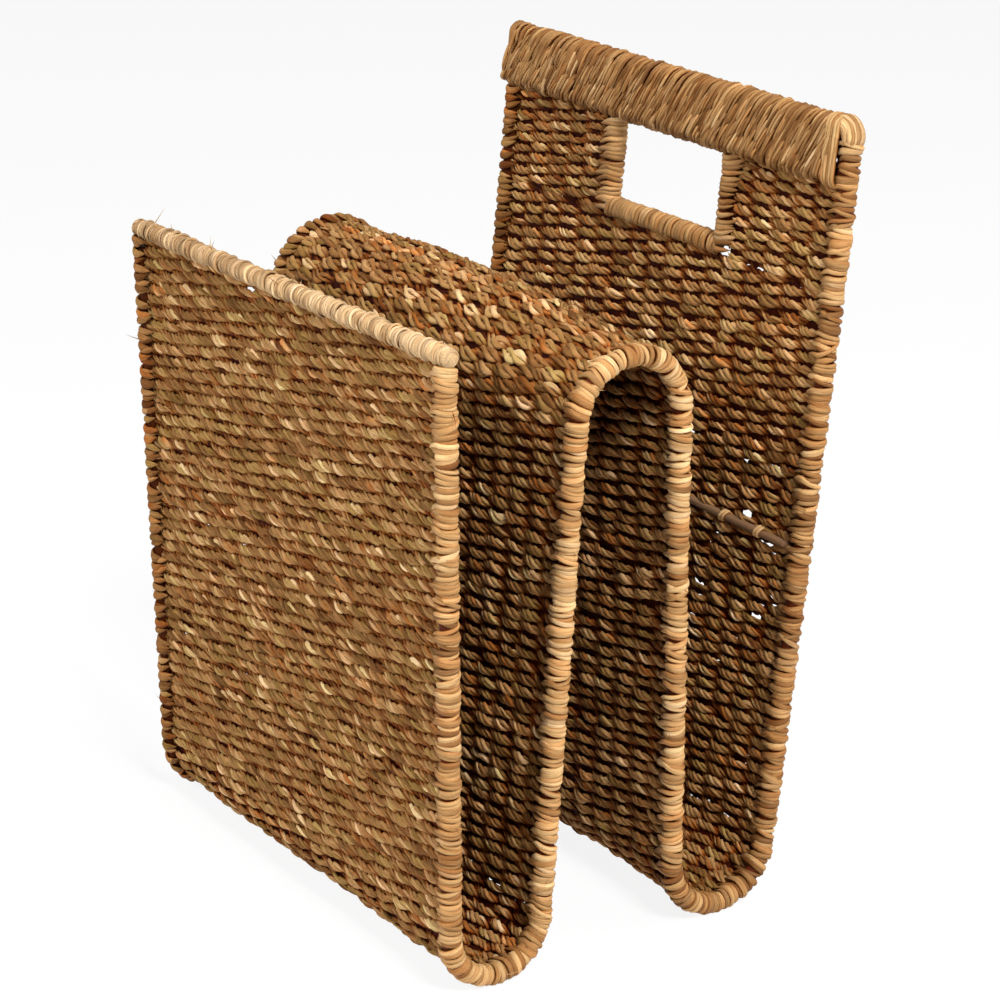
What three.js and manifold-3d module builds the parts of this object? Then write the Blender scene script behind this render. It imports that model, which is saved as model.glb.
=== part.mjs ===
// A magazine basket: one woven sheet that falls from a front rim, turns up at the floor,
// rises over a hump, turns up again and climbs to a back panel with a hand hole.
// A rod bent to the same wave stiffens each edge, under a binding.
// Millimetres. X runs across the sheet, the front faces -Y, and Z is up.

import * as THREE from 'three';
import { mergeVertices } from 'three/addons/utils/BufferGeometryUtils.js';
import Module from 'manifold-3d';

const wasm = await Module();
wasm.setup();

// The wave: heights are from the floor to the middle of the sheet
const sheetWidth = 300;
const frontHeight = 351.7;
const humpHeight = 330.5;
const backHeight = 431.4;
const frontBendRadius = 28.8;
const humpRadius = 33;
const backBendRadius = 32.1;
const bendSpacing = 147;
const humpSetBack = 77.3;
const frontTopReach = 39.7;
const backTopReach = 64.9;

// How far each edge of the sheet widens or narrows towards the top of each part
const frontFlare = 4;
const humpInset = 2.9;
const backFlare = 2.9;

// How much lower the left top corner of each panel stands than its right one, and how far
// the crest rises between its two side arches
const frontDrop = 8.4;
const backDrop = 4.7;
const crestBow = 6.5;

// The woven sheet, between the valleys of its rows, and one ridge for each row
const sheetThickness = 4.6;
const ridgeHeight = 1.6;
const rowPitch = 6.5;
const ridgeShares = [[0, 0], [0.3, 1], [0.7, 1]];

// Rods, bindings, and the space between pieces that touch
const rodRadius = 2.4;
const railRadius = 5.8;
const clearance = 0.3;

// The level foot under each bend of the edge bindings
const footFlat = 0.5;
const footLength = 8;

// The binding round the front rim
const rimRadius = 5.4;
const rimEndLength = 3.2;
const rimEndShare = 0.62;

// The band over the two handle rods: drops are down the panel from the top rod's line
const bandDrop = 33.2;
const bandRadius = 6.6;
const bandForward = 1.2;

// The hand hole, measured between its bindings
const holeCentre = 3.4;
const holeWidth = 89.9;
const sillDrop = 81.7;
const strandThickness = 2.5;
const strandGap = 0.45;
const postReach = 15;
const postTurns = 9;
const sillTurns = 22;

// The bare stick on the back panel and the two strands tied over it
const stickDrop = 228.1;
const stickProud = 2.2;
const stickTieShares = [0.56, 0.76];
const tieThickness = 1.6;
const tieWidth = 4.6;

// Facets
const railSides = 12;
const rodSides = 8;
const bendSteps = 8;
const strandSides = 5;
const endSteps = 4;
const domeRings = 6;
const bandSteps = 7;
const bowSteps = 8;

// What follows from them
const bindingRadius = rodRadius + clearance + strandThickness;
const boreRadius = rodRadius + clearance;
const railWidth = railRadius * 2 + clearance;
const bandTop = bandRadius - railRadius;
const bandBottom = bandDrop - bandRadius;
const holeSide = holeWidth / 2 + bindingRadius;

const seagrass = new THREE.MeshStandardMaterial({ color: 0xa9793f, roughness: 0.85 });
const shadedSeagrass = new THREE.MeshStandardMaterial({ color: 0x8a5a28, roughness: 0.85 });
const paleBinding = new THREE.MeshStandardMaterial({ color: 0xd6ab68, roughness: 0.75 });
const frameRod = new THREE.MeshStandardMaterial({ color: 0x3a3531, roughness: 0.5, metalness: 0.8 });
const caneStick = new THREE.MeshStandardMaterial({ color: 0x8c6a4a, roughness: 0.7 });

// The wave's runs. A place on a run is a point (depth, height), with the run's direction
// there and the normal of the sheet's upper side. A run's corners are where its facets meet

const place = (point, tangent) => ({ point, tangent, normal: new THREE.Vector2(-tangent.y, tangent.x) });

function onCircle(circle, angle) {
  const way = new THREE.Vector2(Math.cos(angle), Math.sin(angle));
  return way.multiplyScalar(circle.radius).add(circle.centre);
}

function lineRun(from, to) {
  const tangent = to.clone().sub(from);
  const length = tangent.length();
  tangent.normalize();
  const at = (s) => place(from.clone().addScaledVector(tangent, s), tangent);
  return { length, at, corners: [] };
}

// Even corners within a stretch that takes half of a bend's facets
function between(from, to) {
  const steps = bendSteps / 2;
  return Array.from({ length: steps - 1 }, (_, i) => from + (to - from) * (i + 1) / steps);
}

function arcRun(circle, fromAngle, toAngle) {
  const turn = Math.sign(toAngle - fromAngle);
  const length = Math.abs(toAngle - fromAngle) * circle.radius;
  const lowest = (Math.PI * 3 / 2 - fromAngle) * circle.radius;
  const corners = turn > 0
    ? [...between(0, lowest - footLength / 2), lowest - footLength / 2,
      lowest + footLength / 2, ...between(lowest + footLength / 2, length)]
    : between(0, length / 2).concat(length / 2, between(length / 2, length));
  const at = (s) => {
    const angle = fromAngle + turn * s / circle.radius;
    const tangent = new THREE.Vector2(-Math.sin(angle), Math.cos(angle)).multiplyScalar(turn);
    return place(onCircle(circle, angle), tangent);
  };
  return { length, at, corners };
}

// Angle, about a circle, of the point where a straight from outside touches it
function touchAngle(circle, from, side) {
  const offset = from.clone().sub(circle.centre);
  return Math.atan2(offset.y, offset.x) + side * Math.acos(circle.radius / offset.length());
}

// Angle, about the first circle, of a straight that crosses over to the second one
function crossAngle(circle, other, side) {
  const offset = other.centre.clone().sub(circle.centre);
  const reach = (circle.radius + other.radius) / offset.length();
  return Math.atan2(offset.y, offset.x) + side * Math.acos(reach);
}

const frontBend = {
  centre: new THREE.Vector2(0, railRadius + frontBendRadius),
  radius: frontBendRadius,
};
const hump = {
  centre: new THREE.Vector2(humpSetBack, humpHeight - humpRadius),
  radius: humpRadius,
};
const backBend = {
  centre: new THREE.Vector2(bendSpacing, railRadius + backBendRadius),
  radius: backBendRadius,
};
const frontTop = new THREE.Vector2(-frontTopReach, frontHeight);
const backTop = new THREE.Vector2(bendSpacing + backTopReach, backHeight);

const fullTurn = Math.PI * 2;
const frontTouch = touchAngle(frontBend, frontTop, 1);
const riseTouch = crossAngle(frontBend, hump, -1);
const fallTouch = crossAngle(backBend, hump, 1);
const backTouch = touchAngle(backBend, backTop, -1);

const front = lineRun(frontTop, onCircle(frontBend, frontTouch));
const frontTurn = arcRun(frontBend, frontTouch, riseTouch + fullTurn);
const rise = lineRun(onCircle(frontBend, riseTouch), onCircle(hump, riseTouch + Math.PI));
const crest = arcRun(hump, riseTouch + Math.PI, fallTouch - Math.PI);
const fall = lineRun(onCircle(hump, fallTouch + Math.PI), onCircle(backBend, fallTouch));
const backTurn = arcRun(backBend, fallTouch, backTouch + fullTurn);
const back = lineRun(onCircle(backBend, backTouch), backTop);

function halfWidthAt(depth, height) {
  const risen = (top) => THREE.MathUtils.clamp((height - railRadius) / (top - railRadius), 0, 1);
  if (depth < frontBend.centre.x) return sheetWidth / 2 + frontFlare * risen(frontHeight);
  if (depth < backBend.centre.x) return sheetWidth / 2 - humpInset * risen(humpHeight);
  return sheetWidth / 2 + backFlare * risen(backHeight);
}

// Geometry helpers

function closedGeometry(positions, triangles) {
  const geometry = new THREE.BufferGeometry();
  geometry.setAttribute('position', new THREE.Float32BufferAttribute(positions, 3));
  geometry.setIndex(triangles);
  return geometry;
}

function toSolid(geometry) {
  const bare = geometry.clone();
  bare.deleteAttribute('normal');
  bare.deleteAttribute('uv');
  const merged = mergeVertices(bare);
  return new wasm.Manifold(new wasm.Mesh({
    numProp: 3,
    vertProperties: new Float32Array(merged.attributes.position.array),
    triVerts: new Uint32Array(merged.index.array),
  }));
}

function toGeometry(solid) {
  const mesh = solid.getMesh();
  return closedGeometry(mesh.vertProperties, Array.from(mesh.triVerts));
}

// A section drawn in (Y, Z), carried along X from one side face to the other
function acrossX(shape, lowSide, highSide, steps = 1) {
  const options = { depth: 1, steps, bevelEnabled: false, curveSegments: bandSteps };
  const geometry = new THREE.ExtrudeGeometry(shape, options);
  const axes = [new THREE.Vector3(0, 1, 0), new THREE.Vector3(0, 0, 1), new THREE.Vector3(1, 0, 0)];
  geometry.applyMatrix4(new THREE.Matrix4().makeBasis(...axes));
  const at = geometry.attributes.position;
  for (let i = 0; i < at.count; i += 1) {
    const low = lowSide(at.getY(i), at.getZ(i));
    const high = highSide(at.getY(i), at.getZ(i));
    at.setX(i, low + (high - low) * at.getX(i));
  }
  return geometry;
}

// A block between two corners
function block(from, to) {
  const sizes = from.map((value, axis) => Math.abs(to[axis] - value));
  const middle = from.map((value, axis) => (to[axis] + value) / 2);
  return new THREE.BoxGeometry(...sizes).translate(...middle);
}

// Radius of a polygon's corners whose flats lie at the given radius
const cornerRadius = (radius, sides) => radius / Math.cos(Math.PI / sides);

function polygon(path, radius, sides) {
  for (let i = 0; i <= sides; i += 1) {
    const angle = (i + 1 / 2) * fullTurn / sides;
    const corner = cornerRadius(radius, sides);
    const point = [Math.cos(angle) * corner, Math.sin(angle) * corner];
    if (i === 0) path.moveTo(...point);
    else path.lineTo(...point);
  }
  return path;
}

function rodAlongX(radius, lowX, highX, sides = rodSides) {
  const geometry = new THREE.CylinderGeometry(
    cornerRadius(radius, sides), cornerRadius(radius, sides), highX - lowX, sides);
  geometry.rotateZ(Math.PI / 2);
  return geometry.translate((lowX + highX) / 2, 0, 0);
}

function rodAlongY(radius, lowY, highY, sides = rodSides) {
  const geometry = new THREE.CylinderGeometry(
    cornerRadius(radius, sides), cornerRadius(radius, sides), highY - lowY, sides);
  return geometry.translate(0, (lowY + highY) / 2, 0);
}

// The edge of the sheet as a path through stations on the wave, on one side
class EdgePath extends THREE.Curve {
  constructor(side, stations) {
    super();
    this.side = side;
    this.stations = stations;
  }

  getPoint(t, target = new THREE.Vector3()) {
    const { point } = this.stations[Math.round(t * (this.stations.length - 1))];
    const x = this.side * (halfWidthAt(point.x, point.y) - railRadius);
    return target.set(x, point.x, point.y);
  }

  getPointAt(u, target) {
    return this.getPoint(u, target);
  }

  getTangentAt(u, target = new THREE.Vector3()) {
    const { tangent } = this.stations[Math.round(u * (this.stations.length - 1))];
    return target.set(0, tangent.x, tangent.y);
  }
}

const stationsOn = (run, from, to) => [from, ...run.corners, to].map(run.at);

function sweep(side, stations, outerRadius, outerSides, holeRadius) {
  const shape = polygon(new THREE.Shape(), outerRadius, outerSides);
  if (holeRadius) shape.holes.push(polygon(new THREE.Path(), holeRadius, rodSides));
  const extrudePath = new EdgePath(side, stations);
  return new THREE.ExtrudeGeometry(shape, { steps: stations.length - 1, bevelEnabled: false, extrudePath });
}

// The woven sheet: a section with one ridge for each row on both of its sides
function sheetShape(run, from, to) {
  const rows = Math.max(1, Math.round((to - from) / rowPitch));
  const step = (to - from) / rows;
  const offsets = [];
  for (let row = 0; row < rows; row += 1) {
    for (const [along, rise] of ridgeShares) {
      offsets.push([from + (row + along) * step, sheetThickness / 2 + rise * ridgeHeight]);
    }
  }
  offsets.push([to, sheetThickness / 2]);
  const sidePoint = (side) => ([s, offset]) => {
    const { point, normal } = run.at(s);
    return point.addScaledVector(normal, side * offset);
  };
  const upper = offsets.map(sidePoint(1));
  const lower = offsets.map(sidePoint(-1));
  return new THREE.Shape(upper.concat(lower.reverse()));
}

function sheet(run, from, to) {
  const edge = (depth, height) => halfWidthAt(depth, height) - railWidth;
  const steps = run === crest ? bowSteps : 1;
  const geometry = acrossX(sheetShape(run, from, to), (y, z) => -edge(y, z), edge, steps);
  return run === crest ? bowed(geometry) : geometry;
}

// Lifts the middle of the crest above its two side arches
function bowed(geometry) {
  const at = geometry.attributes.position;
  const foot = Math.max(crest.at(0).point.y, crest.at(crest.length).point.y) + sheetThickness;
  for (let i = 0; i < at.count; i += 1) {
    const share = THREE.MathUtils.clamp((at.getZ(i) - foot) / (humpHeight - foot), 0, 1);
    const across = at.getX(i) / (halfWidthAt(at.getY(i), at.getZ(i)) - railWidth);
    at.setZ(i, at.getZ(i) + crestBow * share * (1 - across * across));
  }
  return geometry;
}

// A strand wound as a helix. The loop is a list of places, each with its point in the
// plane of a turn, the outward direction there and the share of the turn done so far
function winding(name, loop, turns, pitch, start) {
  const strandWidth = pitch - strandGap;
  const rings = [];
  for (let i = 0; i <= turns * loop.length; i += 1) {
    const { point, outward, share } = loop[i % loop.length];
    const turn = Math.floor(i / loop.length) + share;
    const ring = [];
    for (let k = 0; k < strandSides; k += 1) {
      const angle = (k + 1 / 2) * fullTurn / strandSides;
      const thick = Math.cos(angle) * strandThickness / 2;
      const wide = Math.sin(angle) * strandWidth / 2;
      ring.push([point.x + outward.x * thick, point.y + outward.y * thick, start + turn * pitch + wide]);
    }
    rings.push(ring);
  }
  printLeastGap(name, rings, loop.length);
  return tubeThrough(rings);
}

function tubeThrough(rings) {
  const positions = rings.flat(2);
  const triangles = [];
  const sides = rings[0].length;
  const last = (rings.length - 1) * sides;
  for (let i = 0; i < rings.length - 1; i += 1) {
    for (let k = 0; k < sides; k += 1) {
      const a = i * sides + k;
      const b = i * sides + (k + 1) % sides;
      triangles.push(a, b, a + sides, b, b + sides, a + sides);
    }
  }
  for (let k = 1; k < sides - 1; k += 1) {
    triangles.push(0, k + 1, k);
    triangles.push(last, last + k, last + k + 1);
  }
  return outward(closedGeometry(positions, triangles));
}

// Turns a closed surface right side out
function outward(geometry) {
  const at = geometry.attributes.position;
  const corner = (i) => new THREE.Vector3().fromBufferAttribute(at, geometry.index.getX(i));
  let volume = 0;
  for (let i = 0; i < geometry.index.count; i += 3) {
    volume += corner(i).dot(corner(i + 1).cross(corner(i + 2)));
  }
  if (volume < 0) geometry.setIndex(Array.from(geometry.index.array).reverse());
  return geometry;
}

function printLeastGap(name, rings, perTurn) {
  let least = Infinity;
  for (let i = 0; i + perTurn < rings.length; i += 1) {
    const top = Math.max(...rings[i].map((corner) => corner[2]));
    const bottom = Math.min(...rings[i + perTurn].map((corner) => corner[2]));
    least = Math.min(least, bottom - top);
  }
  console.log(`${name}: least gap between turns ${least.toFixed(2)} mm`);
}

// The places of one turn: two half rounds, which stand apart by the reach
function loopPlaces(radius, reach) {
  const places = [];
  const half = Math.PI;
  const length = 2 * (half * radius + reach);
  for (const end of [0, 1]) {
    for (let i = 0; i < endSteps + (reach ? 1 : 0); i += 1) {
      const turned = half * i / endSteps;
      const outward = new THREE.Vector2(Math.sin(turned), -Math.cos(turned)).multiplyScalar(end ? -1 : 1);
      const point = outward.clone().multiplyScalar(cornerRadius(radius, endSteps * 2));
      point.x -= end * reach;
      places.push({ point, outward, share: end / 2 + radius * turned / length });
    }
  }
  return places;
}

// Building
const basket = new THREE.Group();
const panel = new THREE.Group();
basket.add(panel);

function add(name, geometry, material, parent = basket) {
  const mesh = new THREE.Mesh(geometry, material);
  mesh.name = name;
  parent.add(mesh);
  return mesh;
}

// The panel group lies on the back panel: X across, Y up the panel from the top rod's
// line, Z out of its front face
const panelWay = back.at(0);
panel.position.set(0, backTop.x, backTop.y);
panel.rotation.x = Math.atan2(panelWay.tangent.y, panelWay.tangent.x);

const panelRun = lineRun(new THREE.Vector2(-back.length, 0), new THREE.Vector2(0, 0));
const panelEdge = (up) => {
  const { point } = back.at(back.length + up);
  return halfWidthAt(point.x, point.y);
};

// A strip of the back panel's sheet, between two heights up the panel
function panelSheet(lowUp, highUp, lowSide, highSide) {
  const shape = sheetShape(panelRun, back.length + lowUp, back.length + highUp);
  return acrossX(shape, lowSide, highSide);
}

// The woven sheet
const half = clearance / 2;
const rimSeat = rimRadius + clearance;
const sheetRuns = [
  ['front_panel_weave', front, rimSeat, front.length - half, seagrass],
  ['front_bend_weave', frontTurn, half, frontTurn.length - half, seagrass],
  ['hump_front_weave', rise, half, rise.length - half, shadedSeagrass],
  ['hump_crest_weave', crest, half, crest.length - half, seagrass],
  ['hump_back_weave', fall, half, fall.length - half, shadedSeagrass],
  ['back_bend_weave', backTurn, half, backTurn.length - half, shadedSeagrass],
];
for (const [name, run, from, to, material] of sheetRuns) {
  add(name, sheet(run, from, to), material);
}

// The back panel below the hand hole, with a seat for the stick and its ties
const sillSeat = -sillDrop - bindingRadius - clearance;
const panelSide = (up) => panelEdge(up) - railWidth;
const tieRadius = boreRadius + tieThickness;
let backSheet = toSolid(panelSheet(half - back.length, sillSeat, (up) => -panelSide(up), panelSide));
const stickSeat = block(
  [-sheetWidth, -stickDrop - boreRadius, stickProud - boreRadius],
  [sheetWidth, -stickDrop + boreRadius, sheetThickness * 2]);
backSheet = backSheet.subtract(toSolid(stickSeat));
const stickTies = stickTieShares.map((share) => share * sheetWidth / 2);
for (const x of stickTies) {
  const reach = tieWidth / 2 + clearance;
  const tieSeat = block(
    [x - reach, -stickDrop - tieRadius - clearance, stickProud - clearance],
    [x + reach, -stickDrop + tieRadius + clearance, sheetThickness * 2]);
  backSheet = backSheet.subtract(toSolid(tieSeat));
}
add('back_panel_weave', toGeometry(backSheet), shadedSeagrass, panel);

// The strips beside the hand hole. Each ends in a thin flap, cut free of the strip along
// a slot, which lies beside the post inside the binding that is wound round both
const bandSeat = -bandDrop - clearance;
const postLow = -sillDrop + bindingRadius + clearance;
const flapOverlap = bindingRadius;
for (const side of [-1, 1]) {
  const label = side < 0 ? 'left' : 'right';
  const post = holeCentre + side * holeSide;
  const inner = post + side * boreRadius;
  const wound = post + side * (postReach + bindingRadius + clearance);
  const rim = (up) => side * panelSide(up);
  const sides = side < 0 ? [rim, () => inner] : [() => inner, rim];
  const strip = toSolid(panelSheet(sillSeat + clearance, bandSeat, ...sides));
  const pocket = block([post, postLow - clearance, -sheetThickness * 2], [wound, 0, sheetThickness * 2]);
  const flap = block(
    [inner, postLow - flapOverlap, -rodRadius],
    [post + side * postReach, bandSeat, rodRadius]);
  const cheek = strip.subtract(toSolid(pocket)).add(toSolid(flap));
  add(`${label}_cheek_weave`, toGeometry(cheek), shadedSeagrass, panel);
}

// The rods in the handle, the hand hole's posts and its sill
function addPanelRod(name, lowX, highX, up, out, material = frameRod) {
  add(name, rodAlongX(rodRadius, lowX, highX).translate(0, up, out), material, panel);
}
const bandHalf = panelSide(-bandDrop) - clearance;
const topRodReach = panelEdge(0) - railRadius - boreRadius;
addPanelRod('back_top_rod', -topRodReach, topRodReach, -bandTop, bandForward);
addPanelRod('handle_lower_rod', -bandHalf, bandHalf, -bandBottom, bandForward);
addPanelRod('sill_rod', holeCentre - holeSide, holeCentre + holeSide, -sillDrop, 0);
const postRods = { left: holeCentre - holeSide, right: holeCentre + holeSide };
const postTop = -bandBottom - boreRadius;
for (const [label, x] of Object.entries(postRods)) {
  add(`${label}_post_rod`, rodAlongY(rodRadius, postLow, postTop).translate(x, 0, 0), frameRod, panel);
}

// The band over the handle rods: a long loop, open at both ends, pierced by the post rods
function bandLoop(path, radius) {
  path.absarc(-bandTop, bandForward, radius, -Math.PI / 2, Math.PI / 2, false);
  path.absarc(-bandBottom, bandForward, radius, Math.PI / 2, Math.PI * 3 / 2, false);
  return path;
}
const bandShape = bandLoop(new THREE.Shape(), bandRadius);
bandShape.holes.push(bandLoop(new THREE.Path(), cornerRadius(boreRadius, rodSides)));
let band = toSolid(acrossX(bandShape, () => -bandHalf, () => bandHalf));
for (const x of Object.values(postRods)) {
  band = band.subtract(toSolid(rodAlongY(boreRadius, -bandDrop * 2, -bandBottom).translate(x, 0, 0)));
}
add('handle_band', toGeometry(band), paleBinding, panel);

// The bindings wound round the posts and the sill
const strandMiddle = boreRadius + strandThickness / 2;
const postSpan = bandSeat - postLow;
const postPitch = postSpan / (postTurns + 1);
for (const [label, x] of Object.entries(postRods)) {
  const loop = loopPlaces(strandMiddle, postReach);
  const wound = winding(`${label} post`, loop, postTurns, postPitch, postPitch / 2);
  wound.rotateX(-Math.PI / 2);
  if (label === 'right') wound.rotateY(Math.PI);
  wound.translate(x, postLow, 0);
  add(`${label}_post_binding`, wound, paleBinding, panel);
}
const sillPitch = holeSide * 2 / (sillTurns + 1);
const sillWound = winding('sill', loopPlaces(strandMiddle, 0), sillTurns, sillPitch, sillPitch / 2);
sillWound.rotateY(Math.PI / 2);
add('sill_binding', sillWound.translate(holeCentre - holeSide, -sillDrop, 0), paleBinding, panel);

// The bare stick and the strands tied over it
const stickReach = panelSide(-stickDrop) - clearance;
addPanelRod('back_stick', -stickReach, stickReach, -stickDrop, stickProud, caneStick);
stickTies.forEach((x, i) => {
  const shape = new THREE.Shape();
  shape.absarc(-stickDrop, stickProud, tieRadius, 0, Math.PI, false);
  shape.absarc(-stickDrop, stickProud, cornerRadius(boreRadius, rodSides), Math.PI, 0, true);
  const tie = acrossX(shape, () => x - tieWidth / 2, () => x + tieWidth / 2);
  add(`stick_tie_${i + 1}`, tie, paleBinding, panel);
});

// The side rods, from under the front rim to the top of the back panel
const waveRuns = [front, frontTurn, rise, crest, fall, backTurn, back];
for (const side of [-1, 1]) {
  const label = side < 0 ? 'left' : 'right';
  const stations = waveRuns.flatMap((run, i) => {
    const from = i === 0 ? boreRadius : 0;
    const to = i === waveRuns.length - 1 ? run.length + rodRadius : run.length;
    return stationsOn(run, from, to).slice(i === 0 ? 0 : 1);
  });
  add(`${label}_side_rod`, sweep(side, stations, rodRadius, rodSides), frameRod);
}

// The binding round each side rod, in one stretch for each run of the wave
const stretches = [
  ['front', front, rimSeat, front.length - half],
  ['front_bend', frontTurn, half, frontTurn.length - half],
  ['hump_front', rise, half, rise.length - half],
  ['hump_crest', crest, half, crest.length - half],
  ['hump_back', fall, half, fall.length - half],
  ['back_bend', backTurn, half, backTurn.length - half],
];
function standFlat(geometry) {
  const at = geometry.attributes.position;
  for (let i = 0; i < at.count; i += 1) {
    at.setZ(i, Math.max(at.getZ(i), footFlat));
  }
  return geometry;
}
for (const side of [-1, 1]) {
  const label = side < 0 ? 'left' : 'right';
  for (const [stretch, run, from, to] of stretches) {
    const bound = sweep(side, stationsOn(run, from, to), railRadius, railSides, boreRadius);
    add(`${label}_${stretch}_binding`, standFlat(bound), paleBinding);
  }

  // The last stretch closes over the top of its rod, and the top rod comes in through it
  const top = new THREE.Vector3(side * (panelEdge(0) - railRadius), backTop.x, backTop.y);
  const dome = new THREE.SphereGeometry(cornerRadius(railRadius, railSides), railSides, domeRings);
  dome.translate(top.x, top.y, top.z);
  const rodStations = stationsOn(back, -clearance, back.length + boreRadius);
  const tube = toSolid(sweep(side, stationsOn(back, half, back.length), railRadius, railSides));
  const bore = toSolid(sweep(side, rodStations, boreRadius, rodSides));
  const entry = rodAlongX(boreRadius, 0, railRadius * 2);
  if (side > 0) entry.rotateY(Math.PI);
  entry.rotateX(panel.rotation.x);
  const drop = panelWay.tangent.clone().multiplyScalar(-bandTop);
  const out = panelWay.normal.clone().multiplyScalar(bandForward);
  entry.translate(top.x, top.y + drop.x + out.x, top.z + drop.y + out.y);
  const bound = tube.add(toSolid(dome)).subtract(bore).subtract(toSolid(entry));
  add(`${label}_back_binding`, toGeometry(bound), paleBinding);
}

// The front top rod and the binding round it
const rimHalf = halfWidthAt(frontTop.x, frontTop.y);
const frontRodReach = rimHalf - railRadius + rodRadius;
const frontRod = rodAlongX(rodRadius, -frontRodReach, frontRodReach).translate(0, frontTop.x, frontTop.y);
add('front_top_rod', frontRod, frameRod);

function roundedBinding(reach) {
  const end = rimRadius * rimEndShare;
  const body = reach - rimEndLength;
  const profile = [[0, reach], [end, reach], [rimRadius, body]];
  const lower = profile.map(([radius, along]) => [radius, -along]);
  const points = lower.concat(profile.reverse()).map((corner) => new THREE.Vector2(...corner));
  return new THREE.LatheGeometry(points, railSides).rotateZ(-Math.PI / 2);
}
let rim = toSolid(roundedBinding(rimHalf).translate(0, frontTop.x, frontTop.y));
const rimBore = frontRodReach + clearance;
rim = rim.subtract(toSolid(rodAlongX(boreRadius, -rimBore, rimBore).translate(0, frontTop.x, frontTop.y)));
for (const side of [-1, 1]) {
  rim = rim.subtract(toSolid(sweep(side, stationsOn(front, 0, rimSeat * 2), boreRadius, rodSides)));
}
add('front_rim_binding', toGeometry(rim), paleBinding);

// Lowers the left top corner of the front and of the back, and what is fixed to each
function dropLeft(spot) {
  const share = (sheetWidth / 2 - spot.x) / sheetWidth;
  const risen = (top) => Math.max(0, (spot.z - railRadius) / (top - railRadius));
  if (spot.y < frontBend.centre.x) spot.z -= frontDrop * share * risen(frontHeight);
  if (spot.y > backBend.centre.x) spot.z -= backDrop * share * risen(backHeight);
}
basket.updateMatrixWorld(true);
const spot = new THREE.Vector3();
basket.traverse((mesh) => {
  if (!mesh.isMesh) return;
  const at = mesh.geometry.attributes.position;
  const toLocal = mesh.matrixWorld.clone().invert();
  for (let i = 0; i < at.count; i += 1) {
    dropLeft(spot.fromBufferAttribute(at, i).applyMatrix4(mesh.matrixWorld));
    spot.applyMatrix4(toLocal);
    at.setXYZ(i, spot.x, spot.y, spot.z);
  }
});

// Origin: the middle of the footprint, on the floor
const box = new THREE.Box3().setFromObject(basket, true);
basket.position.set(-(box.min.x + box.max.x) / 2, -(box.min.y + box.max.y) / 2, -box.min.z);

export default basket;
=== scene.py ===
import math
import bpy
import numpy as np
from mathutils import Matrix, Vector


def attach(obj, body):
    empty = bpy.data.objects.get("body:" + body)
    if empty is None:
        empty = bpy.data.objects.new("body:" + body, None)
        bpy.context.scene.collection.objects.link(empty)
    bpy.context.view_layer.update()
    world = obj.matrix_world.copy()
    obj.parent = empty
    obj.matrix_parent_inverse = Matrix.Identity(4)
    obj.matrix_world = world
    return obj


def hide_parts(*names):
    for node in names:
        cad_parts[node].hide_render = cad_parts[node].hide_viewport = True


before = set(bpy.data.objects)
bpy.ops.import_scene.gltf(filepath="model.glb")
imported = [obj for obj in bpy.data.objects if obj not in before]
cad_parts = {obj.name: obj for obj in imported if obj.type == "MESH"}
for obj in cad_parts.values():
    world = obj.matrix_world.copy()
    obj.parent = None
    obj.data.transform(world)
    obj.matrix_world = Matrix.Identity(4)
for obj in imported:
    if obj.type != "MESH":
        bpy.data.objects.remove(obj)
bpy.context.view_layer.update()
rand = np.random.default_rng(27)
mm = 0.001  # the weave is worked out in millimetres, in the source's own frame
turn = math.pi * 2


def addObject(name, data):
    made = bpy.data.objects.new(name, data)
    bpy.context.scene.collection.objects.link(made)
    return made


# the camera, at the photograph's angle
viewpoint = {
    "place": (1.33004, -0.93081, 0.81524),
    "right": (0.57244, 0.81971, 0.01974),
    "up": (-0.2986, 0.18598, 0.93608),
    "back": (0.76364, -0.54174, 0.35123),
    "lens": 113.573,
    "sensor": 36,
    "near": 0.05,
    "far": 20,
}
cameraData = bpy.data.cameras.new("camera")
cameraData.lens = viewpoint["lens"]
cameraData.sensor_width = viewpoint["sensor"]
cameraData.clip_start, cameraData.clip_end = viewpoint["near"], viewpoint["far"]
camera = addObject("camera", cameraData)
camera.location = viewpoint["place"]
camera.rotation_mode = "QUATERNION"
turned = Matrix([viewpoint["right"], viewpoint["up"], viewpoint["back"]]).transposed()
camera.rotation_quaternion = turned.to_quaternion()
bpy.context.scene.camera = camera
bpy.context.scene.view_settings.view_transform = "Standard"
print("camera set")

# the wave that the sheet follows, seen from the side
wave = {
    "frontHeight": 351.7, "humpHeight": 330.5, "backHeight": 431.4,
    "frontBend": 28.8, "humpRound": 33, "backBend": 32.1,
    "bendSpacing": 147, "humpSetBack": 77.3, "frontReach": 39.7, "backReach": 64.9,
    "halfWidth": 150, "frontFlare": 4, "humpInset": 2.9, "backFlare": 2.9,
    "rail": 5.8, "middleBack": 86.302, "footFlat": 0.5, "sample": 0.5,
    "frontSag": 8.4, "backSag": 4.7, "intoFrontBend": 20, "intoBackBend": 60,
}


def touchAngle(centre, radius, place, side):
    dy, dz = place[0] - centre[0], place[1] - centre[1]
    return math.atan2(dz, dy) + side * math.acos(radius / math.hypot(dy, dz))


def onRound(centre, radius, angle):
    return centre[0] + radius * math.cos(angle), centre[1] + radius * math.sin(angle)


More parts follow.
